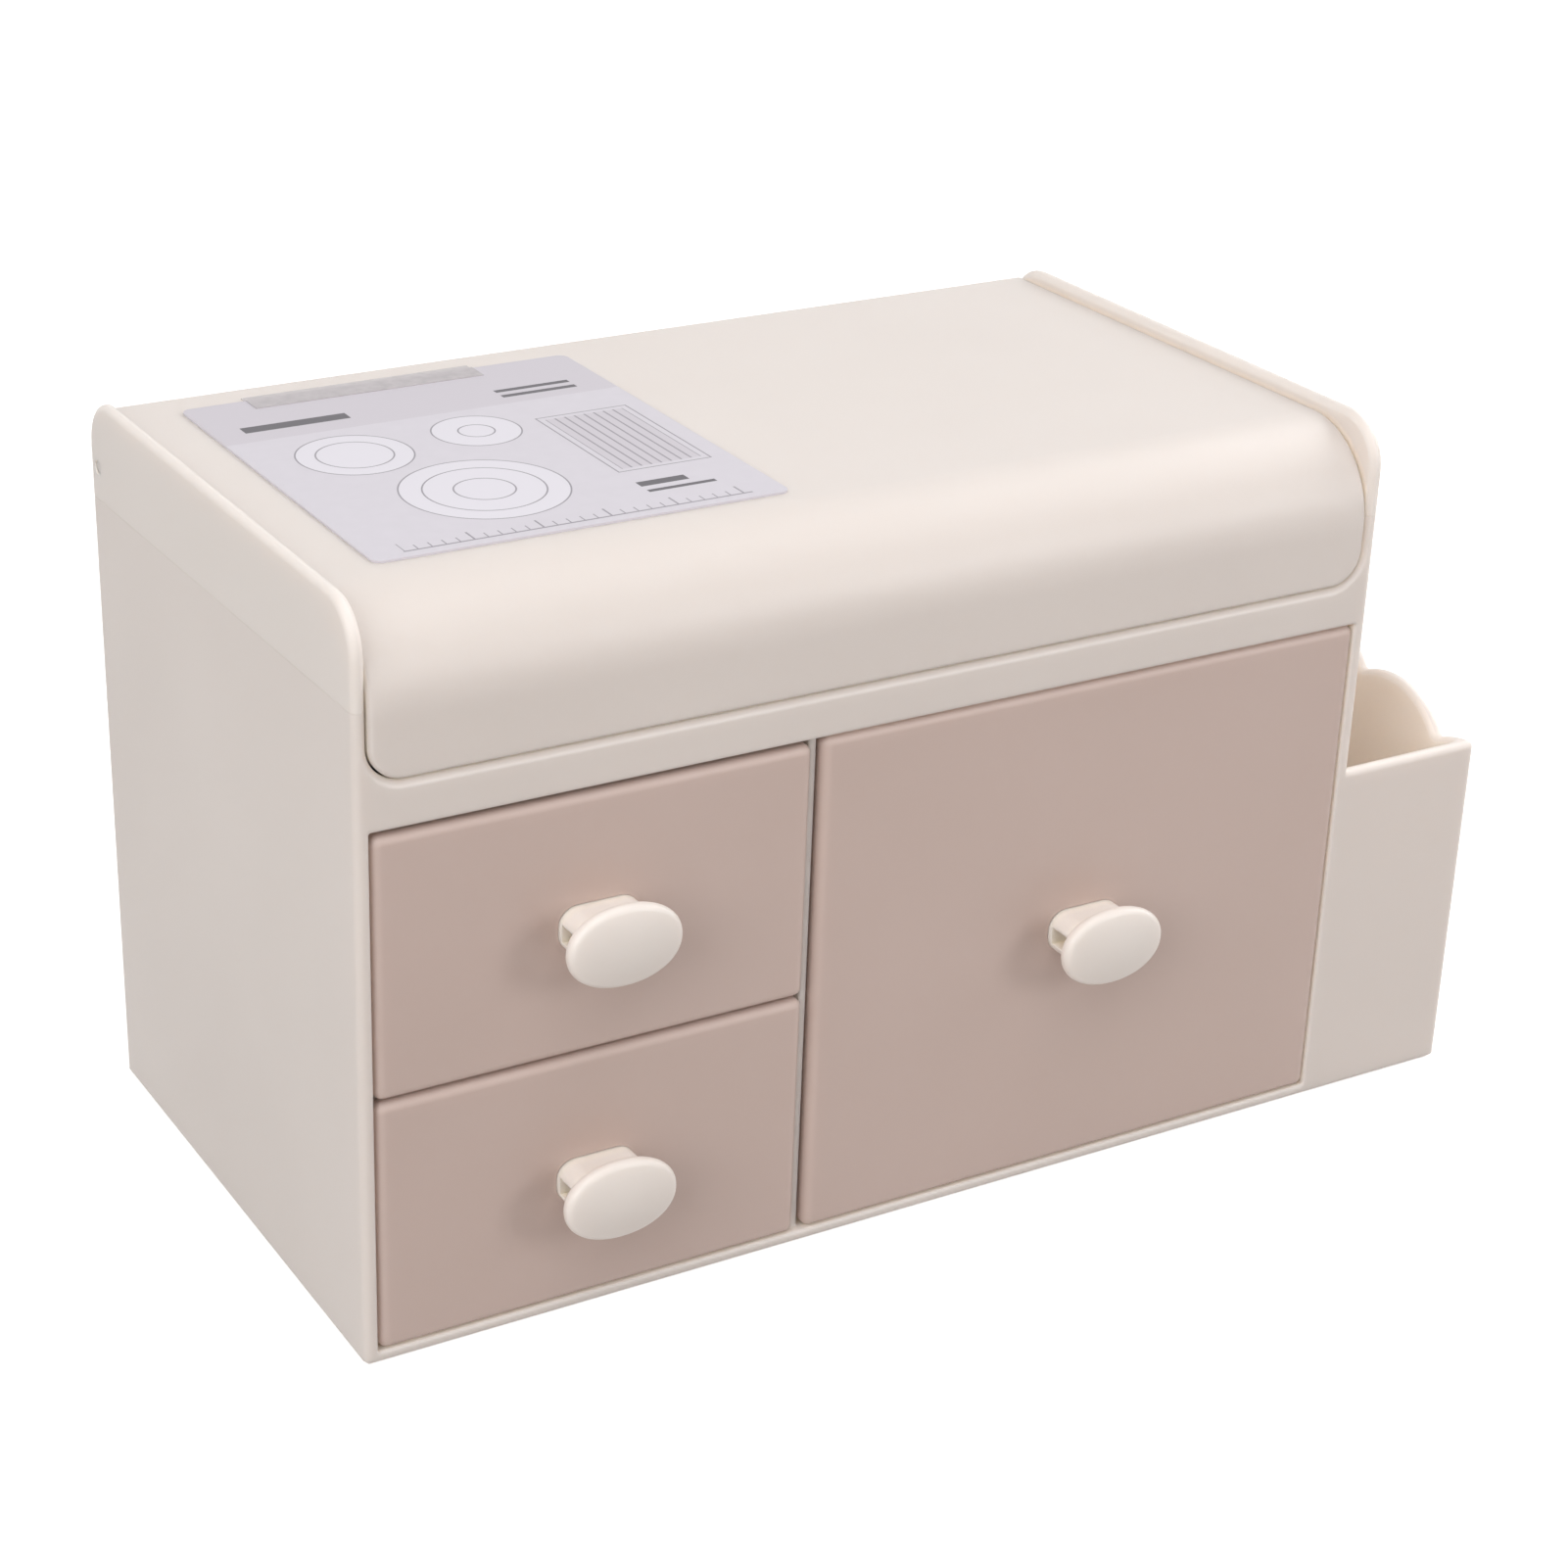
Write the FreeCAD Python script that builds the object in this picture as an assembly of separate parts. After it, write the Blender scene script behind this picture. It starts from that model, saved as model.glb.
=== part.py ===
import FreeCAD, Part
import math
import os

Vector = FreeCAD.Vector

# A desktop organizer: a moulded cabinet with three drawers, a lid that turns at the rear over a
# shallow tray, and an open pocket on its right side. Sizes are in millimetres. The pieces are
# built with x from the left cheek, y from the front face to the back and z up from the resting
# face, and moved to the origin, the middle of the whole object's footprint, when they are saved.

# Cabinet shell
body_width = 161.3           # outside of the left cheek to outside of the right one
body_depth = 91.8            # front face to rear face, at the tops of the cheeks
body_height = 110.0
rear_draft = 1.1             # degrees; the rear face leans out towards the top
wall = 1.9
base_thickness = 1.85
foot_bevel = 0.8             # along the edges of the resting face
cheek_corner = 7.5           # rounding of the cheeks' tops, seen from the side
outer_round = 0.9            # along the outer edges of the mouldings

# Drawer bays
small_bay_width = 65.25
lower_bay_height = 37.35
divider = 0.9
divider_setback = 1.4        # front face to the divider's front edge
shelf = 0.95
shelf_front_gap = 0.4        # backs of the small drawers' fronts to the shelf's edge
bay_corner = 0.4
mouth_bevel = 0.2

# Tray under the lid
rail_drop = 24.5             # tops of the cheeks to the top of the rail
tray_floor = 2.0
tray_depth = 4.25            # tray floor to the top of the rail
opening_corner = 5.2         # lower corners of the opening that the lid closes
lip_bevel = 0.75
rib = 1.2
long_rib_setback = 48.0      # front face to the rib that runs from cheek to cheek
short_rib_offset = 72.5      # left cheek to the rib that runs from front to back

# Side pocket
pocket_width = 24.7          # how far the pocket reaches past the cheek
pocket_wall = 2.05
pocket_front_height = 55.1
pocket_corner = 1.5          # inside corners, seen from above
scallops = 5
scallop_rise = 4.41          # from each crest to the next
scallop_depth = 3.7          # from a crest to the notches beside it
notch_round = 0.9
rim_bevel = 0.6

# Lid
lid_side_gap = 0.3
lid_front_gap = 0.35         # round the lower edge of the lid's front
lid_drop = 1.8               # tops of the cheeks to the lid's top
lid_thickness = 1.8
lid_front_curve = 13.5
lid_rear_curve = 3.4
lid_edge_bevel = 0.4
hinge_inset = 2.8            # hinge axis to the cheeks' rear edge, level with the axis
hinge_drop = 10.4            # tops of the cheeks to the hinge axis
rear_wall_drop = 4.8         # hinge axis to the top of the rear wall
knuckle_radius = 2.5
knuckle_length = 7.0
hinge_swing_gap = 0.4        # top of the rear wall to what turns above it
pin_radius = 1.0
pin_clearance = 0.05
pin_recess = 0.2             # pin's end below the outside of the cheek

# Drawers
small_left_gap = 0.4
small_right_gap = 0.25
large_left_gap = 0.6
large_right_gap = 0.1
under_gap = 0.15
lower_top_gap = 0.25         # lower small drawer's sides to the shelf
fronts_gap = 0.45            # between the fronts of the two small drawers
upper_top_gap = 0.85
large_top_gap = 0.3
drawer_rear_gap = 1.2
front_thickness = 2.2
drawer_wall = 1.5
front_round = 1.3            # all edges and corners of the fronts
inside_corner = 3.0          # upright corners inside the drawers
floor_bevel = 1.0            # inside, between the floor and the walls

# Knobs
cap_width = 16.9
cap_height = 11.7
cap_stand_off = 5.7          # drawer front to the back of the cap
cap_end_radius = 4.8         # the oval's ends; its long sides follow from them
cap_back_bevel = 1.5         # from the back of the cap to its widest line
cap_dome = 1.9               # widest line to the middle of the domed face
stem_width = 12.0
stem_height = 6.6
stem_corner = 2.8
window_length = 4.4
window_height = 2.6
window_offset = 0.8          # drawer front to the window
prong_width = 7.0
prong_height = 3.2           # outside to outside of the two prongs
prong_slot = 1.0
prong_clearance = 0.1
barb_length = 1.4
barb_reach = 0.5
barb_gap = 0.15              # inside of the drawer's front to the barbs
prong_root = 0.4             # how far the prongs start inside the stem

# Printed card and its tape
card_left = 10.5
card_front = 16.0
card_width = 61.3
card_length = 66.6
card_thickness = 0.3
card_corner = 1.5
tape_left = 20.5
tape_width = 36.0
tape_on_card = 4.0
tape_on_lid = 1.9
tape_thickness = 0.1

# Places that follow from the sizes
overrun = 1.0                # how far a cutter reaches past what it cuts
tiny = 0.001
overall_width = body_width + pocket_width
rail_top = body_height - rail_drop
tray_underside = rail_top - tray_depth - tray_floor
hinge_height = body_height - hinge_drop
rear_wall_height = hinge_height - rear_wall_drop
small_bay_x = (wall, wall + small_bay_width)
large_bay_x = (small_bay_x[1] + divider, body_width - wall)
lower_bay_z = (base_thickness, base_thickness + lower_bay_height)
upper_bay_z = (lower_bay_z[1] + shelf, tray_underside)
large_bay_z = (base_thickness, tray_underside)
lid_top = body_height - lid_drop
knob_reach = cap_stand_off + cap_back_bevel + cap_dome
shelf_setback = front_thickness + shelf_front_gap
lid_corner = opening_corner - lid_front_gap


def rear_at(z):
    # y of the drafted rear face at a height
    return body_depth - (body_height - z) * math.tan(math.radians(rear_draft))


def corner_setback():
    # from the rear upper corner to where the cheek's rounding starts
    return cheek_corner * math.tan(math.radians((90 + rear_draft) / 2))


hinge_y = rear_at(hinge_height) - hinge_inset
lid_rear = hinge_y + knuckle_radius
rearmost = body_depth - corner_setback() + cheek_corner
origin = Vector(overall_width / 2, (rearmost - knob_reach) / 2, 0)


def block(x, y, z):
    # box between the low and the high value on each axis
    return Part.makeBox(x[1] - x[0], y[1] - y[0], z[1] - z[0], Vector(x[0], y[0], z[0]))


def seen_from_front(u, v):
    return Vector(u, 0, v)


def seen_from_side(u, v):
    return Vector(0, u, v)


def seen_from_above(u, v):
    return Vector(u, v, 0)


def rounded_rectangle(u, v, radii, view):
    # closed wire; radii are for the corners anticlockwise from the low one
    corners = [(u[0], v[0]), (u[1], v[0]), (u[1], v[1]), (u[0], v[1])]
    inward = [(1, 1), (-1, 1), (-1, -1), (1, -1)]
    edges = []
    ends = []
    for i in range(4):
        centre_u = corners[i][0] + inward[i][0] * radii[i]
        centre_v = corners[i][1] + inward[i][1] * radii[i]
        points = []
        for turn in (180, 225, 270):
            angle = math.radians(turn + 90 * i)
            points.append(view(centre_u + radii[i] * math.cos(angle),
                               centre_v + radii[i] * math.sin(angle)))
        if radii[i] > 0:
            edges.append(Part.Arc(*points).toShape())
        ends.append((points[0], points[2]))
    for i in range(4):
        start = ends[i][1]
        finish = ends[(i + 1) % 4][0]
        if start.distanceToPoint(finish) > tiny:
            edges.append(Part.makeLine(start, finish))
    return Part.Wire(Part.__sortEdges__(edges))


def outline(start, steps, view):
    # closed wire; a step holds the next point, or an arc's middle point and its end
    edges = []
    here = view(*start)
    for step in steps + [[start]]:
        there = view(*step[-1])
        if len(step) == 2:
            edges.append(Part.Arc(here, view(*step[0]), there).toShape())
        elif here.distanceToPoint(there) > tiny:
            edges.append(Part.makeLine(here, there))
        here = there
    return Part.Wire(edges)


def pushed(wire, start, travel):
    # solid from a wire, moved by start and pushed along travel
    solid = Part.Face(wire).extrude(travel)
    solid.translate(start)
    return solid


def on_circle(centre, radius, degrees):
    angle = math.radians(degrees)
    return (centre[0] + radius * math.cos(angle), centre[1] + radius * math.sin(angle))


def edges_where(shape, test):
    # edges whose two ends and middle all pass the test
    found = []
    for edge in shape.Edges:
        middle = edge.valueAt((edge.FirstParameter + edge.LastParameter) / 2)
        points = [vertex.Point for vertex in edge.Vertexes] + [middle]
        if all(test(point) for point in points):
            found.append(edge)
    return found


def shell_block():
    # the cabinet's outer form without its pocket
    front_curve = (cheek_corner, body_height - cheek_corner)
    rear_curve = (body_depth - corner_setback(), body_height - cheek_corner)
    steps = [
        [(0, front_curve[1])],
        [on_circle(front_curve, cheek_corner, 135), (front_curve[0], body_height)],
        [(rear_curve[0], body_height)],
        [on_circle(rear_curve, cheek_corner, 45 - rear_draft / 2),
         on_circle(rear_curve, cheek_corner, -rear_draft)],
        [(rear_at(0), 0)],
    ]
    side = outline((0, 0), steps, seen_from_side)
    shell = pushed(side, Vector(0, 0, 0), Vector(body_width, 0, 0))
    shell = shell.makeFillet(outer_round, edges_where(shell, above_the_foot))
    return shell.makeChamfer(foot_bevel, edges_where(shell, on_the_foot))


def on_the_foot(point):
    return point.z < tiny


def above_the_foot(point):
    return not on_the_foot(point)


def scallop_steps():
    # arcs of the pocket's upper edge, from its front crest to its rear one
    rear_height = pocket_front_height + scallops * scallop_rise
    pitch = rear_at(rear_height) / scallops
    chord = math.hypot(pitch, scallop_rise)
    radius = (chord * chord / 4 + scallop_depth * scallop_depth) / (2 * scallop_depth)
    slope = math.degrees(math.atan2(scallop_rise, pitch))
    half_angle = math.degrees(math.asin(chord / 2 / radius))
    steps = []
    for i in range(scallops + 1):
        centre = (i * pitch, pocket_front_height - radius + i * scallop_rise)
        first = 90 + slope + half_angle if i > 0 else 90
        last = 90 + slope - half_angle if i < scallops else 90
        steps.append([on_circle(centre, radius, (first + last) / 2),
                      on_circle(centre, radius, last)])
    return steps


def side_pocket():
    # front, outer and rear walls on a floor, open towards the cheek and reaching into it
    left = body_width - wall
    steps = [[(0, pocket_front_height)]] + scallop_steps() + [[(rear_at(0), 0)]]
    side = outline((0, 0), steps, seen_from_side)
    pocket = pushed(side, Vector(left, 0, 0), Vector(overall_width - left, 0, 0))
    notches = [edge for edge in pocket.Edges if runs_across(edge) and not at_an_end(edge)]
    pocket = pocket.makeFillet(notch_round, notches)
    outer = edges_where(pocket, lambda p: p.x > overall_width - tiny)
    outer += [edge for edge in pocket.Edges if runs_across(edge) and at_an_end(edge)]
    outer = [edge for edge in outer if edge.BoundBox.ZMax > tiny]
    pocket = pocket.makeFillet(outer_round, outer)
    foot = edges_where(pocket, lambda p: on_the_foot(p) and p.x > left + tiny)
    foot += edges_where(pocket, lambda p: on_the_foot(p) and not tiny < p.y < rear_at(0) - tiny)
    pocket = pocket.makeChamfer(foot_bevel, foot)
    floor = rounded_rectangle((left - overrun, overall_width - pocket_wall),
                              (pocket_wall, rear_at(0) - pocket_wall),
                              [0, pocket_corner, pocket_corner, 0], seen_from_above)
    pocket = pocket.cut(pushed(floor, Vector(0, 0, base_thickness), Vector(0, 0, body_height)))
    rim = edges_where(pocket, on_pocket_rim)
    return pocket.makeChamfer(rim_bevel, rim)


def runs_across(edge):
    return edge.BoundBox.XLength > tiny and edge.BoundBox.YLength < tiny and edge.BoundBox.ZLength < tiny


def at_an_end(edge):
    # on the front face or on the rear one
    point = edge.Vertexes[0].Point
    return point.y < tiny or point.y > rear_at(point.z) - tiny


def on_pocket_rim(point):
    inside_x = point.x < overall_width - pocket_wall + tiny
    inside_y = pocket_wall - tiny < point.y < rear_at(0) - pocket_wall + tiny
    return inside_x and inside_y and point.z > base_thickness + tiny


def interior():
    # all that lies in front of the rear wall's inside
    top = body_height + overrun
    steps = [[(-overrun, top)], [(rear_at(top) - wall, top)], [(rear_at(0) - wall, 0)]]
    side = outline((-overrun, 0), steps, seen_from_side)
    return pushed(side, Vector(0, 0, 0), Vector(body_width, 0, 0))


def bay(x, z):
    # cutter for one drawer's bay
    mouth = rounded_rectangle(x, z, [bay_corner] * 4, seen_from_front)
    run = body_depth + 2 * overrun
    return pushed(mouth, Vector(0, -overrun, 0), Vector(0, run, 0)).common(interior())


def front_recesses():
    # cutters that set the shelf's edge behind the small drawers' fronts, and the divider's beside them
    z = (lower_bay_z[1] - bay_corner, upper_bay_z[0] + bay_corner)
    shelf_edge = block(small_bay_x, (-overrun, shelf_setback), z)
    x = (small_bay_x[1] - bay_corner, large_bay_x[0] + bay_corner)
    divider_edge = block(x, (-overrun, divider_setback), large_bay_z)
    return [shelf_edge, divider_edge]


def lid_opening():
    # cutter for the tray and for all between the cheeks above it
    x = (wall, body_width - wall)
    top = body_height + overrun
    corners = [opening_corner, opening_corner, 0, 0]
    mouth = rounded_rectangle(x, (rail_top, top), corners, seen_from_front)
    front = pushed(mouth, Vector(0, -overrun, 0), Vector(0, wall + 2 * overrun, 0))
    tray = block(x, (wall, body_depth), (rail_top - tray_depth, top)).common(interior())
    rear = block(x, (body_depth / 2, body_depth + overrun), (rear_wall_height, top))
    return front.multiFuse([tray, rear])


def tray_ribs():
    z = (rail_top - tray_depth - overrun, rail_top)
    y = (long_rib_setback, long_rib_setback + rib)
    long_rib = block((wall / 2, body_width - wall / 2), y, z)
    short_rib = block((short_rib_offset, short_rib_offset + rib), (wall / 2, y[1]), z)
    return long_rib.fuse(short_rib)


def cabinet():
    # the one moulding that carries all the rest
    body = shell_block().fuse(side_pocket()).removeSplitter()
    bays = [bay(small_bay_x, lower_bay_z), bay(small_bay_x, upper_bay_z), bay(large_bay_x, large_bay_z)]
    body = body.cut(bays + front_recesses() + [lid_opening()]).removeSplitter()
    body = body.fuse(tray_ribs()).removeSplitter()
    body = body.cut(hinge_holes())
    mouths = edges_where(body, lambda p: on_front_inside(p) and p.z < tray_underside + tiny)
    body = body.makeChamfer(mouth_bevel, mouths)
    lip = edges_where(body, lambda p: on_front_inside(p) and p.z > rail_top - tiny)
    return body.makeChamfer(lip_bevel, lip)


def on_front_inside(point):
    # on the front face, not on its outer edges
    inside_x = wall - tiny < point.x < body_width - wall + tiny
    return abs(point.y) < tiny and inside_x and point.z > base_thickness - tiny


def lid():
    # a bent plate: front flap, top and rear flap, with a hinge stub at each end
    left = wall + lid_side_gap
    right = body_width - left
    low = rail_top + lid_front_gap
    front_curve = (lid_front_curve, lid_top - lid_front_curve)
    rear_curve = (lid_rear - lid_rear_curve, lid_top - lid_rear_curve)
    swing = hinge_height - rear_wall_height - hinge_swing_gap
    rear_low = hinge_height - math.sqrt(swing * swing - knuckle_radius * knuckle_radius)
    under = lid_top - lid_thickness
    steps = [
        [(0, front_curve[1])],
        [on_circle(front_curve, lid_front_curve, 135), (lid_front_curve, lid_top)],
        [(rear_curve[0], lid_top)],
        [on_circle(rear_curve, lid_rear_curve, 45), (lid_rear, rear_curve[1])],
        [(lid_rear, rear_low)],
        [(lid_rear - lid_thickness, rear_low)],
        [(lid_rear - lid_thickness, rear_curve[1])],
        [on_circle(rear_curve, lid_rear_curve - lid_thickness, 45), (rear_curve[0], under)],
        [(lid_front_curve, under)],
        [on_circle(front_curve, lid_front_curve - lid_thickness, 135), (lid_thickness, front_curve[1])],
        [(lid_thickness, low)],
    ]
    side = outline((0, low), steps, seen_from_side)
    plate = pushed(side, Vector(left, 0, 0), Vector(right - left, 0, 0))
    corners = edges_where(plate, lambda p: p.z < low + tiny and (p.x < left + tiny or p.x > right - tiny))
    plate = plate.makeFillet(lid_corner, corners)
    plate = plate.makeChamfer(lid_edge_bevel, edges_where(plate, lambda p: p.y < tiny))
    stubs = []
    for start, inner in ((pin_recess, left), (body_width - pin_recess, right)):
        inward = 1 if start < inner else -1
        knuckle = rod(knuckle_radius, inner, inner + inward * knuckle_length)
        pin = rod(pin_radius, start, inner + inward * knuckle_length / 2)
        stubs += [knuckle, pin]
    return plate.multiFuse(stubs).removeSplitter()


def rod(radius, start, end):
    # cylinder on the hinge axis between two x
    return Part.makeCylinder(radius, abs(end - start), Vector(min(start, end), hinge_y, hinge_height),
                             Vector(1, 0, 0))


def hinge_holes():
    return rod(pin_radius + pin_clearance, -overrun, body_width + overrun)


def drawer(x, z, box_top):
    # an open box behind a front with rounded edges; x and z are the front's own limits
    rear = rear_at(z[0]) - wall - drawer_rear_gap
    front = block(x, (0, front_thickness), z)
    front = front.makeFillet(front_round, [edge for edge in front.Edges if edge.BoundBox.YMin < tiny])
    outline_of_box = rounded_rectangle(x, (z[0], box_top), [front_round] * 4, seen_from_front)
    box = pushed(outline_of_box, Vector(0, front_round, 0), Vector(0, rear - front_round, 0))
    floor = z[0] + drawer_wall
    inside = rounded_rectangle((x[0] + drawer_wall, x[1] - drawer_wall),
                               (front_thickness, rear - drawer_wall),
                               [inside_corner] * 4, seen_from_above)
    inside = pushed(inside, Vector(0, 0, floor), Vector(0, 0, z[1] - z[0]))
    inside = inside.makeChamfer(floor_bevel, edges_where(inside, lambda p: p.z < floor + tiny))
    middle = middle_of(x, z)
    half_width = prong_width / 2 + prong_clearance
    half_height = prong_height / 2 + prong_clearance
    slot = block((middle.x - half_width, middle.x + half_width),
                 (-overrun, front_thickness + overrun),
                 (middle.z - half_height, middle.z + half_height))
    return front.fuse(box).removeSplitter().cut([inside, slot])


def middle_of(x, z):
    return Vector((x[0] + x[1]) / 2, 0, (z[0] + z[1]) / 2)


def oval(width, height, end_radius, view):
    # closed wire of two end arcs and two long ones that meet them without a corner
    reach = width / 2 - end_radius
    rise = height / 2 - end_radius
    drop = (reach * reach - rise * rise) / (2 * rise)
    long_radius = height / 2 + drop
    turn = math.degrees(math.atan2(drop, reach))
    right = (reach, 0)
    left = (-reach, 0)
    start = on_circle(right, end_radius, -turn)
    steps = [
        [on_circle(right, end_radius, 0), on_circle(right, end_radius, turn)],
        [on_circle((0, -drop), long_radius, 90), on_circle(left, end_radius, 180 - turn)],
        [on_circle(left, end_radius, 180), on_circle(left, end_radius, 180 + turn)],
        [on_circle((0, drop), long_radius, 270), start],
    ]
    return outline(start, steps, view)


def knob_cap():
    # an oval, bevelled behind its widest line and domed before it
    face = oval(cap_width, cap_height, cap_end_radius, seen_from_front)
    cap = pushed(face, Vector(0, -knob_reach - overrun, 0), Vector(0, knob_reach + overrun - cap_stand_off, 0))
    cap = cap.makeChamfer(cap_back_bevel, edges_where(cap, lambda p: p.y > -cap_stand_off - tiny))
    half = cap_width / 2
    swell = (half * half + cap_dome * cap_dome) / (2 * cap_dome)
    return cap.common(Part.makeSphere(swell, Vector(0, swell - knob_reach, 0)))


def knob(middle):
    # oval cap on a stem with a window through it, held by two barbed prongs
    half_width = stem_width / 2
    half_height = stem_height / 2
    outline_of_stem = rounded_rectangle((-half_width, half_width), (-half_height, half_height),
                                        [stem_corner] * 4, seen_from_front)
    into_cap = cap_back_bevel / 2
    stem = pushed(outline_of_stem, Vector(0, -cap_stand_off - into_cap, 0),
                  Vector(0, cap_stand_off + into_cap, 0))
    window = block((-stem_width, stem_width), (-window_offset - window_length, -window_offset),
                   (-window_height / 2, window_height / 2))
    barb_start = front_thickness + barb_gap
    tip = barb_start + barb_length
    prongs = []
    for up in (1, -1):
        low = up * prong_slot / 2
        high = up * prong_height / 2
        steps = [[(tip, low)], [(tip, high)], [(barb_start, high + up * barb_reach)], [(barb_start, high)],
                 [(-prong_root, high)]]
        side = outline((-prong_root, low), steps, seen_from_side)
        prongs.append(pushed(side, Vector(-prong_width / 2, 0, 0), Vector(prong_width, 0, 0)))
    shape = knob_cap().fuse(stem.cut(window)).multiFuse(prongs)
    shape.translate(middle)
    return shape


def lid_card():
    x = (card_left, card_left + card_width)
    y = (card_front, card_front + card_length)
    sheet = rounded_rectangle(x, y, [card_corner] * 4, seen_from_above)
    return pushed(sheet, Vector(0, 0, lid_top), Vector(0, 0, card_thickness))


def tape_strip():
    # lies on the card, steps down over its rear edge and holds it to the lid
    card_rear = card_front + card_length
    on_card = lid_top + card_thickness
    steps = [
        [(card_rear, on_card)],
        [(card_rear, lid_top)],
        [(card_rear + tape_on_lid, lid_top)],
        [(card_rear + tape_on_lid, lid_top + tape_thickness)],
        [(card_rear + tape_thickness, lid_top + tape_thickness)],
        [(card_rear + tape_thickness, on_card + tape_thickness)],
        [(card_rear - tape_on_card, on_card + tape_thickness)],
    ]
    side = outline((card_rear - tape_on_card, on_card), steps, seen_from_side)
    return pushed(side, Vector(tape_left, 0, 0), Vector(tape_width, 0, 0))


def save(shape, node):
    shape = shape.copy()
    shape.translate(-origin)
    shape.exportStep("parts/" + node + ".step")
    print(node, "solids", len(shape.Solids), "valid", shape.isValid(), "volume", round(shape.Volume, 1))


os.makedirs("parts", exist_ok=True)
save(cabinet(), "cabinet")
save(lid(), "lid")
small_x = (small_bay_x[0] + small_left_gap, small_bay_x[1] - small_right_gap)
large_x = (large_bay_x[0] + large_left_gap, large_bay_x[1] - large_right_gap)
upper_z = (upper_bay_z[0] + under_gap, upper_bay_z[1] - upper_top_gap)
lower_z = (lower_bay_z[0] + under_gap, upper_z[0] - fronts_gap)
large_z = (large_bay_z[0] + under_gap, large_bay_z[1] - large_top_gap)
drawers = [
    ("upper_small", small_x, upper_z, upper_z[1]),
    ("lower_small", small_x, lower_z, lower_bay_z[1] - lower_top_gap),
    ("large", large_x, large_z, large_z[1]),
]
for place, x, z, box_top in drawers:
    save(drawer(x, z, box_top), place + "_drawer")
    save(knob(middle_of(x, z)), place + "_knob")
save(lid_card(), "lid_card")
save(tape_strip(), "tape_strip")
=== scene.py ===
import math
import bmesh
import bpy
from mathutils import Matrix, Vector


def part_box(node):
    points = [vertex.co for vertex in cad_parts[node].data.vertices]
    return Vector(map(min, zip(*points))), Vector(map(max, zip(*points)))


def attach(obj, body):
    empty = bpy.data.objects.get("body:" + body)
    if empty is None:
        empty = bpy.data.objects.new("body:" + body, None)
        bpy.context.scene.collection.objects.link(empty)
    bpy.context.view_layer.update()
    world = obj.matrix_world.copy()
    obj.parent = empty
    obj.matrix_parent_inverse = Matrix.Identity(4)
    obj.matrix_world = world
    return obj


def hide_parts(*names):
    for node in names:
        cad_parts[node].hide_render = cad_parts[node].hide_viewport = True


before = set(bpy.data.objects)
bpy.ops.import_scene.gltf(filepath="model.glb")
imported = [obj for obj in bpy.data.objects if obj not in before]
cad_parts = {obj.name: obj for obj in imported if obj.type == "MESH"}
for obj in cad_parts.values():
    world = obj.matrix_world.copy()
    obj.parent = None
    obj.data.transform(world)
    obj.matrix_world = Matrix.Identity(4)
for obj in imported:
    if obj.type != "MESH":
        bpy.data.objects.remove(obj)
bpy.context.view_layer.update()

mm = 0.001


def linearColour(hexText):
    # "#rrggbb" as painted on screen -> the linear values that the shader wants
    channels = [int(hexText[i:i + 2], 16) / 255 for i in (1, 3, 5)]
    return [c / 12.92 if c <= 0.04045 else ((c + 0.055) / 1.055) ** 2.4 for c in channels] + [1.0]


def addNode(tree, kind, settings=None, inputs=None, links=None):
    # settings are the node's own, inputs are plain values, links are sockets of other nodes
    node = tree.nodes.new(kind)
    for name, value in (settings or {}).items():
        setattr(node, name, value)
    for name, value in (inputs or {}).items():
        node.inputs[name].default_value = value
    for name, socket in (links or {}).items():
        tree.links.new(socket, node.inputs[name])
    return node


def newMaterial(name):
    material = bpy.data.materials.new(name)
    material.use_nodes = True
    material.node_tree.nodes.clear()
    return material, material.node_tree


def blended(tree, share, first, second):
    # from the first colour to the second by share
    mix = addNode(tree, "ShaderNodeMix", {"data_type": "RGBA"}, links={0: share})
    mix.inputs[6].default_value = linearColour(first)
    mix.inputs[7].default_value = linearColour(second)
    return mix.outputs[2]


def painted(tree, under, mask, colour):
    # a colour laid over another finish where mask is 1
    mix = addNode(tree, "ShaderNodeMix", {"data_type": "RGBA"}, links={0: mask, 6: under})
    mix.inputs[7].default_value = linearColour(colour)
    return mix.outputs[2]


def together(tree, masks):
    # 1 where any of the masks is
    joined = masks[0]
    for mask in masks[1:]:
        either = addNode(tree, "ShaderNodeMath", {"operation": "MAXIMUM"}, links={0: joined, 1: mask})
        joined = either.outputs[0]
    return joined


def dressNode(nodeName, material):
    # the CAD piece keeps its shape
    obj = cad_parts[nodeName]
    if not obj.material_slots:
        obj.data.materials.append(material)
    for slot in obj.material_slots:
        slot.material = material


print("materials")

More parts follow.
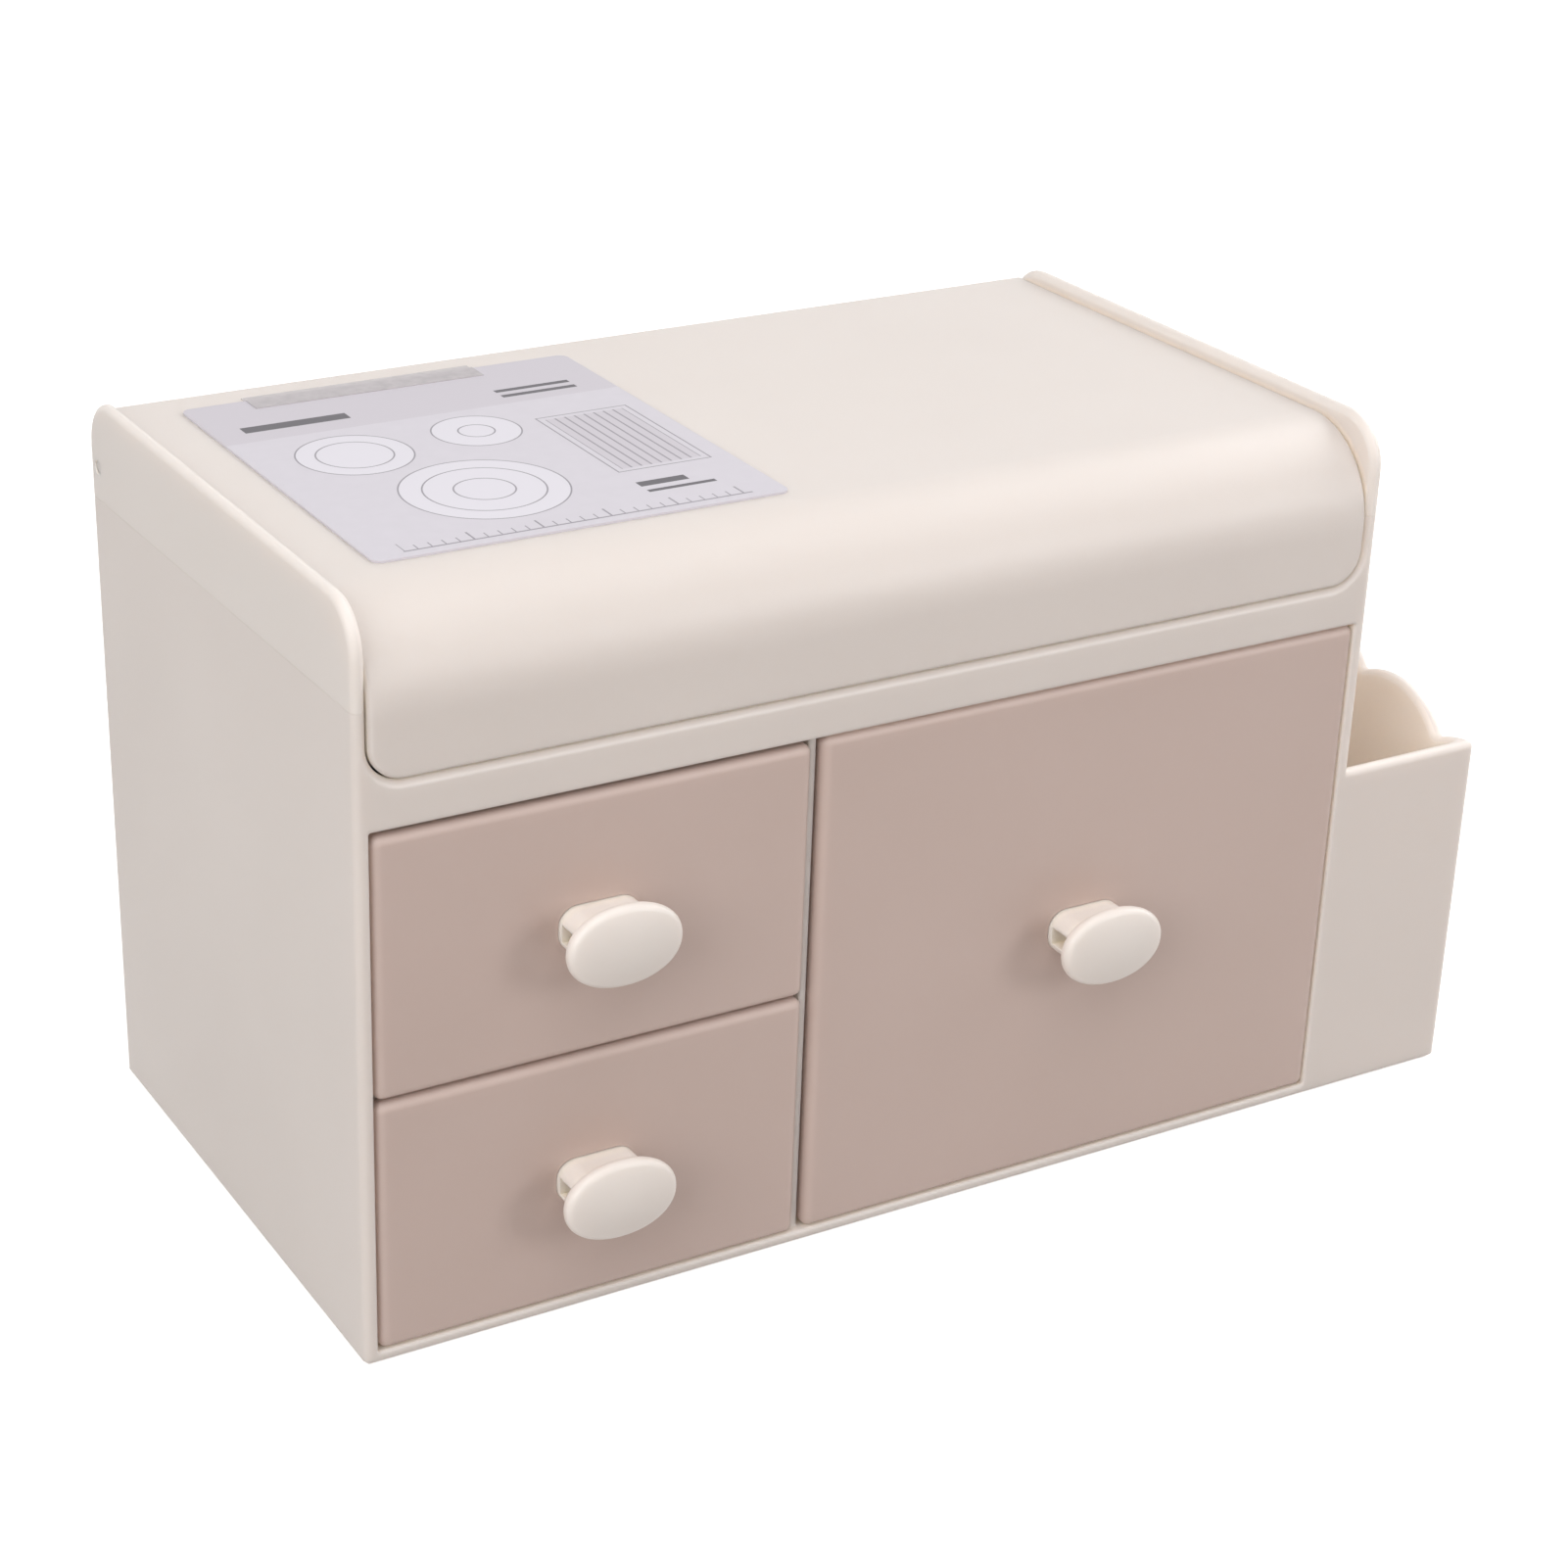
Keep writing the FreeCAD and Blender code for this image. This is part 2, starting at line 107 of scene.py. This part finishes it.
# Moulded plastics: a spark-eroded mould leaves a very fine even grain, and the sheen is satin.
# Lengths are in mm. glow and reach are how much light passes through the plastic and how far,
# and softEdge is the rounding that the mould leaves on every edge. Narrow gaps and hollows get
# painted light: where they are shaded, their colour is painted paler, standing in for light that
# comes through the walls, within the gap reach of another surface and within the hollow reach of
# the same piece. The grain is drawn coarser than the real one, which is too fine to show.
mouldedPlastics = {
    "creamAbs": {
        "colour": "#dad1cb", "shade": "#d5ccc6",
        "paintedGapLight": "#fdf0e3", "paintedGapReach": 0.8, "paintedHollowLight": "#fff2e7",
        "roughness": 0.42, "sheenSpread": 0.06, "grain": 0.35,
        "glow": 0.9, "reach": 2.5, "softEdge": 0.8,
    },
    "roseAbs": {
        "colour": "#c4b0a8", "shade": "#bfaba2",
        "paintedGapLight": "#dcc6bd", "paintedGapReach": 0.6, "paintedHollowLight": "#c4b0a8",
        "roughness": 0.45, "sheenSpread": 0.06, "grain": 0.35,
        "glow": 0.6, "reach": 3.0, "softEdge": 0.3,
    },
    "knobPolypropylene": {
        "colour": "#e3dcd7", "shade": "#ddd5ce",
        "paintedGapLight": "#fff0d8", "paintedGapReach": 2.0, "paintedHollowLight": "#f2e6d8",
        "roughness": 0.36, "sheenSpread": 0.05, "grain": 0.25,
        "glow": 0.9, "reach": 2.0, "softEdge": 0.2,
    },
}
moulding = {
    "ior": 1.5, "paintedHollowReach": 36.0,
    "reachByColour": (1.0, 0.97, 0.94),             # red goes a little farther in than blue
    "grainDepth": 0.006, "grainStrength": 0.5, "grainDetail": 3.0,
    "cloudSize": 38.0, "cloudDetail": 2.0,          # slow drift of the pigment and of the sheen
    "edgeSamples": 4, "paintedLightSamples": 4,
}

# Seam of the mould on the cheeks: a fine groove drawn with a darker line, and paler above it
seam = {
    "height": 95.3, "width": 0.2,                   # mm
    "rise": -0.012,                                 # slope towards the rear
    "depth": 14.0,                                  # times the grain's depth
    "darkLine": "#a89888", "darkLineShare": 0.15, "above": "#dcd4ce",
}


def addSeam(tree, place, height, tint):
    # the seam's groove in the height, and in the tint its darker line and the paler tone above it
    parts = addNode(tree, "ShaderNodeSeparateXYZ", links={"Vector": place})
    level = addNode(tree, "ShaderNodeMath", {"operation": "MULTIPLY_ADD"},
                    {1: seam["rise"], 2: seam["height"] * mm}, {0: parts.outputs["Y"]})
    offset = addNode(tree, "ShaderNodeMath", {"operation": "SUBTRACT"},
                     links={0: parts.outputs["Z"], 1: level.outputs[0]})
    away = addNode(tree, "ShaderNodeMath", {"operation": "ABSOLUTE"}, links={0: offset.outputs[0]})
    ridge = addNode(tree, "ShaderNodeMapRange",
                    inputs={"From Max": seam["width"] * mm, "To Min": 1.0, "To Max": 0.0},
                    links={"Value": away.outputs[0]})
    groove = addNode(tree, "ShaderNodeMath", {"operation": "MULTIPLY"}, {1: -seam["depth"]},
                     {0: ridge.outputs[0]})
    height = addNode(tree, "ShaderNodeMath", {"operation": "ADD"}, links={0: height, 1: groove.outputs[0]})
    above = addNode(tree, "ShaderNodeMath", {"operation": "GREATER_THAN"}, {1: 0.0}, {0: offset.outputs[0]})
    darkLine = addNode(tree, "ShaderNodeMath", {"operation": "MULTIPLY"}, {1: seam["darkLineShare"]},
                   {0: ridge.outputs[0]})
    tint = painted(tree, tint, above.outputs[0], seam["above"])
    tint = painted(tree, tint, darkLine.outputs[0], seam["darkLine"])
    return height.outputs[0], tint


def mouldedPlastic(name, look, withSeam=False):
    material, tree = newMaterial(name)
    place = addNode(tree, "ShaderNodeTexCoord").outputs["Object"]
    cloud = addNode(tree, "ShaderNodeTexNoise",
                    inputs={"Scale": 1 / (moulding["cloudSize"] * mm), "Detail": moulding["cloudDetail"]},
                    links={"Vector": place})
    tint = blended(tree, cloud.outputs["Fac"], look["colour"], look["shade"])
    grain = addNode(tree, "ShaderNodeTexNoise",
                    inputs={"Scale": 1 / (look["grain"] * mm), "Detail": moulding["grainDetail"]},
                    links={"Vector": place})
    sheen = addNode(tree, "ShaderNodeMapRange",
                    inputs={"To Min": look["roughness"] - look["sheenSpread"],
                            "To Max": look["roughness"] + look["sheenSpread"]},
                    links={"Value": cloud.outputs["Fac"]})
    height = grain.outputs["Fac"]
    if withSeam:
        height, tint = addSeam(tree, place, height, tint)
    # painted light: shaded gaps and hollows are painted a paler colour than the plastic's own
    hollows = (moulding["paintedHollowReach"], look["paintedHollowLight"], True)
    gaps = (look["paintedGapReach"], look["paintedGapLight"], False)
    for reach, colour, ownOnly in (hollows, gaps):
        openness = addNode(tree, "ShaderNodeAmbientOcclusion",
                           {"samples": moulding["paintedLightSamples"], "only_local": ownOnly},
                           {"Distance": reach * mm})
        paintedLight = addNode(tree, "ShaderNodeMix", {"data_type": "RGBA"},
                        links={0: openness.outputs["AO"], 7: tint})
        paintedLight.inputs[6].default_value = linearColour(colour)
        tint = paintedLight.outputs[2]
    edge = addNode(tree, "ShaderNodeBevel", {"samples": moulding["edgeSamples"]},
                   {"Radius": look["softEdge"] * mm})
    bump = addNode(tree, "ShaderNodeBump",
                   inputs={"Strength": moulding["grainStrength"], "Distance": moulding["grainDepth"] * mm},
                   links={"Height": height, "Normal": edge.outputs[0]})
    shader = addNode(tree, "ShaderNodeBsdfPrincipled",
                     inputs={"IOR": moulding["ior"], "Subsurface Weight": look["glow"],
                             "Subsurface Radius": moulding["reachByColour"],
                             "Subsurface Scale": look["reach"] * mm},
                     links={"Base Color": tint, "Roughness": sheen.outputs[0], "Normal": bump.outputs[0]})
    addNode(tree, "ShaderNodeOutputMaterial", links={"Surface": shader.outputs[0]})
    return material


creamAbs = mouldedPlastic("creamAbs", mouldedPlastics["creamAbs"])
creamAbsWithSeam = mouldedPlastic("creamAbsWithSeam", mouldedPlastics["creamAbs"], withSeam=True)
roseAbs = mouldedPlastic("roseAbs", mouldedPlastics["roseAbs"])
knobPolypropylene = mouldedPlastic("knobPolypropylene", mouldedPlastics["knobPolypropylene"])

dressNode("cabinet", creamAbsWithSeam)
dressNode("lid", creamAbs)
drawers = ("upper_small", "lower_small", "large")
for place in drawers:
    dressNode(place + "_drawer", roseAbs)

print("card and tape")

# The card: coated board with a slight gloss, printed in greys with a plain design of discs, rings,
# bars, hatching and a ruler. Its places are in mm from the card's front left corner.
card = {
    "paper": "#cac5cc", "paperShade": "#c4bfc6", "roughness": 0.38,
    "fibreSize": 2.5, "fibreDetail": 4.0,           # real fibres are too fine to show
    "panel": "#bfb9c0", "disc": "#d3cfd6", "ink": "#8b868d", "darkInk": "#4c484e", "line": 0.24,
    # middle, then half size
    "panels": [(30.6, 58.0, 30.6, 8.6), (51.0, 29.0, 6.2, 11.5)],
    "frames": [(51.0, 29.0, 7.2, 12.5), (30.6, 1.9, 25.6, 0.06)],
    "bars": [(12.5, 54.4, 8.0, 1.2), (50.0, 55.0, 6.0, 0.55), (50.0, 52.6, 6.0, 0.55),
             (47.5, 11.0, 3.7, 0.9), (49.0, 8.2, 5.2, 0.45)],
    # middle, then radius; the largest ring of each set is also the edge of its disc
    "discs": [(14.5, 38.5, 8.2), (34.0, 40.5, 6.4), (24.5, 18.5, 11.6)],
    "rings": [(14.5, 38.5, 8.2), (14.5, 38.5, 5.4), (34.0, 40.5, 6.4), (34.0, 40.5, 2.6),
              (24.5, 18.5, 11.6), (24.5, 18.5, 8.4), (24.5, 18.5, 4.2)],
    # middle and half size, then the spacing and the width of the lines
    "ticks": [(30.6, 2.8, 25.6, 0.8, 2.0, 0.2), (30.6, 3.4, 25.6, 1.4, 10.0, 0.3),
              (51.0, 29.0, 6.2, 11.5, 1.55, 0.3)],
}


def beyondBox(tree, point, shape):
    # distance outside a box on the card
    x, y, halfX, halfY = shape
    shifted = addNode(tree, "ShaderNodeVectorMath", {"operation": "SUBTRACT"}, {1: (x, y, 0)}, {0: point})
    folded = addNode(tree, "ShaderNodeVectorMath", {"operation": "ABSOLUTE"}, links={0: shifted.outputs[0]})
    past = addNode(tree, "ShaderNodeVectorMath", {"operation": "SUBTRACT"}, {1: (halfX, halfY, 0)},
                   {0: folded.outputs[0]})
    parts = addNode(tree, "ShaderNodeSeparateXYZ", links={"Vector": past.outputs[0]})
    farther = addNode(tree, "ShaderNodeMath", {"operation": "MAXIMUM"},
                      links={0: parts.outputs["X"], 1: parts.outputs["Y"]})
    return farther.outputs[0]


def fromMiddle(tree, point, x, y):
    apart = addNode(tree, "ShaderNodeVectorMath", {"operation": "DISTANCE"}, {1: (x, y, 0)}, {0: point})
    return apart.outputs["Value"]


def filledTo(tree, distance, edge):
    # 1 up to the edge
    inside = addNode(tree, "ShaderNodeMath", {"operation": "LESS_THAN"}, {1: edge}, {0: distance})
    return inside.outputs[0]


def inkedAt(tree, distance, edge):
    # 1 on a fine line along the edge
    line = addNode(tree, "ShaderNodeMath", {"operation": "COMPARE"}, {1: edge, 2: card["line"] / 2},
                   {0: distance})
    return line.outputs[0]


def tickMarks(tree, point, x, y, halfX, halfY, spacing, width):
    # upright lines inside a box
    parts = addNode(tree, "ShaderNodeSeparateXYZ", links={"Vector": point})
    along = addNode(tree, "ShaderNodeMath", {"operation": "SUBTRACT"}, {1: x - halfX},
                    {0: parts.outputs["X"]})
    beside = addNode(tree, "ShaderNodeMath", {"operation": "PINGPONG"}, {1: spacing / 2},
                     {0: along.outputs[0]})
    onLine = filledTo(tree, beside.outputs[0], width / 2)
    inBox = filledTo(tree, beyondBox(tree, point, (x, y, halfX, halfY)), 0.0)
    both = addNode(tree, "ShaderNodeMath", {"operation": "MULTIPLY"}, links={0: onLine, 1: inBox})
    return both.outputs[0]


def coatedCard():
    low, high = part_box("lid_card")
    material, tree = newMaterial("coatedCard")
    place = addNode(tree, "ShaderNodeTexCoord").outputs["Object"]
    onCard = addNode(tree, "ShaderNodeVectorMath", {"operation": "SUBTRACT"},
                     {1: (low[0], low[1], high[2])}, {0: place})
    inMm = addNode(tree, "ShaderNodeVectorMath", {"operation": "SCALE"}, {"Scale": 1 / mm},
                   {0: onCard.outputs[0]}).outputs[0]
    panels = [filledTo(tree, beyondBox(tree, inMm, shape), 0.0) for shape in card["panels"]]
    discs = [filledTo(tree, fromMiddle(tree, inMm, x, y), radius) for x, y, radius in card["discs"]]
    bars = [filledTo(tree, beyondBox(tree, inMm, shape), 0.0) for shape in card["bars"]]
    lines = [tickMarks(tree, inMm, *ticks) for ticks in card["ticks"]]
    lines += [inkedAt(tree, beyondBox(tree, inMm, shape), 0.0) for shape in card["frames"]]
    lines += [inkedAt(tree, fromMiddle(tree, inMm, x, y), radius) for x, y, radius in card["rings"]]
    fibre = addNode(tree, "ShaderNodeTexNoise",
                    inputs={"Scale": 1 / card["fibreSize"], "Detail": card["fibreDetail"]},
                    links={"Vector": inMm})
    tint = blended(tree, fibre.outputs["Fac"], card["paper"], card["paperShade"])
    for masks, colour in ((panels, "panel"), (discs, "disc"), (lines, "ink"), (bars, "darkInk")):
        tint = painted(tree, tint, together(tree, masks), card[colour])
    shader = addNode(tree, "ShaderNodeBsdfPrincipled", inputs={"Roughness": card["roughness"]},
                     links={"Base Color": tint})
    addNode(tree, "ShaderNodeOutputMaterial", links={"Surface": shader.outputs[0]})
    return material


dressNode("lid_card", coatedCard())

# Clear tape: thin film with a cloudy adhesive, so it greys what lies under it
tape = {
    "colour": "#cfc8ca", "alpha": 0.7, "alphaSpread": 0.12, "roughness": 0.28,
    "bubbleSize": 1.6, "bubbleDetail": 3.0,         # the size is in mm
}


def clearTape():
    material, tree = newMaterial("clearTape")
    place = addNode(tree, "ShaderNodeTexCoord").outputs["Object"]
    cloud = addNode(tree, "ShaderNodeTexNoise",
                    inputs={"Scale": 1 / (tape["bubbleSize"] * mm), "Detail": tape["bubbleDetail"]},
                    links={"Vector": place})
    alpha = addNode(tree, "ShaderNodeMapRange",
                    inputs={"To Min": tape["alpha"] - tape["alphaSpread"],
                            "To Max": tape["alpha"] + tape["alphaSpread"]},
                    links={"Value": cloud.outputs["Fac"]})
    shader = addNode(tree, "ShaderNodeBsdfPrincipled",
                     inputs={"Base Color": linearColour(tape["colour"]), "Roughness": tape["roughness"]},
                     links={"Alpha": alpha.outputs[0]})
    addNode(tree, "ShaderNodeOutputMaterial", links={"Surface": shader.outputs[0]})
    return material


dressNode("tape_strip", clearTape())

print("knobs")

# Each knob is one moulding, in mm: an oval domed cap on a stem with a window through it, and two
# barbed prongs that snap into the drawer's front
knob = {
    "width": 16.9, "height": 11.7,
    "squareness": 2.1,                              # 2 is an ellipse, more has fuller ends
    "standOff": 5.7, "backCurve": 1.5, "faceRound": 1.1, "crown": 1.9,
    "faceTurn": 78,                                 # degrees, where the rim meets the dome
    "around": 96, "rimSteps": 7, "domeSteps": 8,    # rows of faces
    "stemWidth": 12.0, "stemHeight": 6.6, "stemCorner": 2.8, "cornerSteps": 10,
    "windowLength": 4.4, "windowHeight": 2.6, "windowOffset": 0.8,
    "prongWidth": 7.0, "prongHeight": 3.2, "prongSlot": 1.0, "prongRoot": 0.4,
    "barbStart": 2.35, "barbLength": 1.4, "barbReach": 0.5,
    "sharpFrom": 38,                                # degrees; flatter edges are shaded smooth
}


def superOval(angle, halfWidth, halfHeight):
    # point of the cap's outline
    power = 2 / knob["squareness"]
    c, s = math.cos(angle), math.sin(angle)
    return (math.copysign(abs(c) ** power, c) * halfWidth, math.copysign(abs(s) ** power, s) * halfHeight)


def capRings():
    # (y, half width, half height) from the back of the cap to its face
    halfWidth, halfHeight = knob["width"] / 2, knob["height"] / 2
    back, curve, edge = -knob["standOff"], knob["backCurve"], knob["faceRound"]
    widest = back - curve
    rings = []
    steps = knob["rimSteps"]
    for i in range(steps + 1):                      # the rounded back
        turn = math.radians(90) * i / steps
        inset = curve * (1 - math.sin(turn))
        rings.append((back - curve * (1 - math.cos(turn)), halfWidth - inset, halfHeight - inset))
    meet = math.radians(knob["faceTurn"])
    for i in range(1, steps + 1):                   # the rounded rim
        turn = meet * i / steps
        inset = edge * (1 - math.cos(turn))
        rings.append((widest - edge * math.sin(turn), halfWidth - inset, halfHeight - inset))
    rimY, rimWidth, rimHeight = rings[-1]
    crownY = widest - knob["crown"]
    for i in range(1, knob["domeSteps"]):           # the dome, highest in the middle
        share = 1 - i / knob["domeSteps"]
        rings.append((crownY + (rimY - crownY) * share * share, rimWidth * share, rimHeight * share))
    return rings, crownY


def capMesh(bm, middle):
    around = knob["around"]
    rings, crownY = capRings()
    loops = []
    for y, halfWidth, halfHeight in rings:
        loop = []
        for k in range(around):
            x, z = superOval(2 * math.pi * k / around, halfWidth, halfHeight)
            loop.append(bm.verts.new((middle + Vector((x, y, z))) * mm))
        loops.append(loop)
    for near, far in zip(loops, loops[1:]):
        for k in range(around):
            bm.faces.new((near[k], near[(k + 1) % around], far[(k + 1) % around], far[k]))
    bm.faces.new(list(reversed(loops[0])))
    tip = bm.verts.new((middle + Vector((0, crownY, 0))) * mm)
    for k in range(around):
        bm.faces.new((loops[-1][k], loops[-1][(k + 1) % around], tip))


def prismMesh(bm, points, travel):
    # closed prism from a flat outline pushed along travel
    start = [bm.verts.new(p * mm) for p in points]
    end = [bm.verts.new((p + travel) * mm) for p in points]
    count = len(points)
    for k in range(count):
        bm.faces.new((start[k], start[(k + 1) % count], end[(k + 1) % count], end[k]))
    bm.faces.new(list(reversed(start)))
    bm.faces.new(end)


def roundedOutline(middle, width, height, corner):
    points = []
    steps = knob["cornerSteps"]
    for side, (signX, signZ) in enumerate(((1, 1), (-1, 1), (-1, -1), (1, -1))):
        for i in range(steps + 1):
            turn = math.radians(90) * (side + i / steps)
            points.append(middle + Vector((signX * (width / 2 - corner) + corner * math.cos(turn), 0,
                                           signZ * (height / 2 - corner) + corner * math.sin(turn))))
    return points


def meshObject(name, build):
    bm = bmesh.new()
    build(bm)
    bmesh.ops.recalc_face_normals(bm, faces=bm.faces)
    mesh = bpy.data.meshes.new(name)
    bm.to_mesh(mesh)
    bm.free()
    obj = bpy.data.objects.new(name, mesh)
    bpy.context.scene.collection.objects.link(obj)
    return obj


def prongOutlines(middle):
    # a slot between the two, and a barb on the outer side of each
    tip = knob["barbStart"] + knob["barbLength"]
    for up in (1, -1):
        low, high = up * knob["prongSlot"] / 2, up * knob["prongHeight"] / 2
        corners = [(-knob["prongRoot"], low), (tip, low), (tip, high),
                   (knob["barbStart"], high + up * knob["barbReach"]), (knob["barbStart"], high),
                   (-knob["prongRoot"], high)]
        yield [middle + Vector((-knob["prongWidth"] / 2, y, z)) for y, z in corners]


def windowOutline(middle):
    near, far = -knob["windowOffset"], -knob["windowOffset"] - knob["windowLength"]
    half = knob["windowHeight"] / 2
    corners = [(far, -half), (near, -half), (near, half), (far, half)]
    return [middle + Vector((-knob["stemWidth"], y, z)) for y, z in corners]


def combine(piece, tools):
    # cuts or joins the tools, and leaves one plain mesh
    for operation, tool in tools:
        step = piece.modifiers.new(tool.name, "BOOLEAN")
        step.operation = operation
        step.object = tool
        step.solver = "EXACT"
    piece.data = bpy.data.meshes.new_from_object(piece.evaluated_get(bpy.context.evaluated_depsgraph_get()))
    piece.modifiers.clear()
    for operation, tool in tools:
        bpy.data.objects.remove(tool)
    piece.data.shade_smooth()


def addKnob(place):
    low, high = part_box(place + "_knob")
    reach = knob["standOff"] + knob["backCurve"] + knob["crown"]
    # where the middle of the stem meets the drawer's front
    middle = Vector(((low[0] + high[0]) / 2 / mm, low[1] / mm + reach, (low[2] + high[2]) / 2 / mm))
    stem = roundedOutline(middle, knob["stemWidth"], knob["stemHeight"], knob["stemCorner"])
    intoCap = Vector((0, -knob["standOff"] - knob["backCurve"] / 2, 0))
    prong = Vector((knob["prongWidth"], 0, 0))
    across = Vector((2 * knob["stemWidth"], 0, 0))
    piece = meshObject(place + "_knob_moulding", lambda bm: prismMesh(bm, stem, intoCap))
    window = meshObject("window", lambda bm: prismMesh(bm, windowOutline(middle), across))
    joined = [("UNION", meshObject("cap", lambda bm: capMesh(bm, middle)))]
    for outline in prongOutlines(middle):
        joined.append(("UNION", meshObject("prong", lambda bm: prismMesh(bm, outline, prong))))
    combine(piece, [("DIFFERENCE", window), *joined])
    piece.data.set_sharp_from_angle(angle=math.radians(knob["sharpFrom"]))
    piece.modifiers.new("even", "WEIGHTED_NORMAL").keep_sharp = True
    piece.data.materials.clear()
    piece.data.materials.append(knobPolypropylene)
    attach(piece, place + "_drawer")
    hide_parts(place + "_knob")


for place in drawers:
    addKnob(place)

print("stage")

# Paper floor in a pale room, in metres: seen directly both are white, but they light the object
# softly. The floor has glowNear up to nearEnds, where the object's shadow has to show, and from
# there it rises to glowFar at farStarts.
studio = {
    "floorColour": "#b4b0ad", "floorHalf": 6.0,
    "glowNear": 0.8, "glowFar": 1.0, "nearEnds": 0.4, "farStarts": 1.6,
    "worldColour": "#ffffff", "worldLight": 0.29, "aimHeight": 0.05,
}


def seenDirectly(tree):
    # 1 where the camera, a reflection or a clear piece shows it
    path = addNode(tree, "ShaderNodeLightPath")
    return together(tree, [path.outputs["Is Camera Ray"], path.outputs["Is Glossy Ray"],
                           path.outputs["Is Transmission Ray"]])


def addFloor():
    mesh = bpy.data.meshes.new("floor")
    half = studio["floorHalf"]
    corners = [(-half, -half, 0), (half, -half, 0), (half, half, 0), (-half, half, 0)]
    mesh.from_pydata(corners, [], [(0, 1, 2, 3)])
    floor = bpy.data.objects.new("floor", mesh)
    bpy.context.scene.collection.objects.link(floor)
    material, tree = newMaterial("paperFloor")
    place = addNode(tree, "ShaderNodeTexCoord").outputs["Object"]
    away = addNode(tree, "ShaderNodeVectorMath", {"operation": "LENGTH"}, links={0: place})
    white = addNode(tree, "ShaderNodeMapRange",
                    inputs={"From Min": studio["nearEnds"], "From Max": studio["farStarts"],
                            "To Min": studio["glowNear"], "To Max": studio["glowFar"]},
                    links={"Value": away.outputs["Value"]})
    seen = addNode(tree, "ShaderNodeMath", {"operation": "MULTIPLY"},
                   links={0: seenDirectly(tree), 1: white.outputs[0]})
    matt = addNode(tree, "ShaderNodeBsdfDiffuse", inputs={"Color": linearColour(studio["floorColour"])})
    glow = addNode(tree, "ShaderNodeEmission", links={"Strength": seen.outputs[0]})
    both = addNode(tree, "ShaderNodeAddShader", links={0: matt.outputs[0], 1: glow.outputs[0]})
    addNode(tree, "ShaderNodeOutputMaterial", links={"Surface": both.outputs[0]})
    mesh.materials.append(material)


def addPaleRoom():
    world = bpy.data.worlds.new("studio")
    bpy.context.scene.world = world
    world.use_nodes = True
    tree = world.node_tree
    tree.nodes.clear()
    strength = addNode(tree, "ShaderNodeMapRange", inputs={"To Min": studio["worldLight"], "To Max": 1.0},
                       links={"Value": seenDirectly(tree)})
    light = addNode(tree, "ShaderNodeBackground", inputs={"Color": linearColour(studio["worldColour"])},
                    links={"Strength": strength.outputs[0]})
    addNode(tree, "ShaderNodeOutputWorld", links={"Surface": light.outputs[0]})


# Soft lamps around the object, in metres and watts
lamps = [
    {"name": "topSoftbox", "at": (-0.2, -0.3, 0.95), "size": 0.9, "power": 4.9},
    {"name": "frontSoftbox", "at": (0.6, -0.95, 0.45), "size": 0.4, "power": 2.8},
    {"name": "leftFill", "at": (-1.0, -0.5, 0.6), "size": 0.8, "power": 7.5},
    {"name": "rightFill", "at": (1.0, 0.1, 0.6), "size": 0.8, "power": 8.0},
]


def addSoftbox(lamp):
    light = bpy.data.lights.new(lamp["name"], "AREA")
    light.shape = "SQUARE"
    light.size = lamp["size"]
    light.energy = lamp["power"]
    obj = bpy.data.objects.new(lamp["name"], light)
    obj.location = lamp["at"]
    towards = Vector((0, 0, studio["aimHeight"])) - obj.location
    obj.rotation_euler = towards.to_track_quat("-Z", "Y").to_euler()
    bpy.context.scene.collection.objects.link(obj)


addFloor()
addPaleRoom()
for lamp in lamps:
    addSoftbox(lamp)

print("camera")

# The place and lens that the object's straight edges in the photograph lead back to, in mm
photoCamera = {
    "at": (-241.77, -382.15, 259.27),
    "right": (0.8746, -0.4844, 0.0200), "up": (0.1841, 0.3700, 0.9106), "back": (-0.4485, -0.7927, 0.4128),
    "sensor": 36.0, "lens": 75.929, "shiftX": 0.07579, "shiftY": -0.01928, "nearest": 10.0,
}


def addCamera():
    data = bpy.data.cameras.new("photoCamera")
    data.sensor_width = photoCamera["sensor"]
    data.lens = photoCamera["lens"]
    data.shift_x = photoCamera["shiftX"]
    data.shift_y = photoCamera["shiftY"]
    data.clip_start = photoCamera["nearest"] * mm
    camera = bpy.data.objects.new("photoCamera", data)
    turn = Matrix((photoCamera["right"], photoCamera["up"], photoCamera["back"])).transposed().to_4x4()
    camera.matrix_world = Matrix.Translation(Vector(photoCamera["at"]) * mm) @ turn
    bpy.context.scene.collection.objects.link(camera)
    bpy.context.scene.camera = camera


addCamera()
bpy.context.scene.view_settings.view_transform = "Standard"
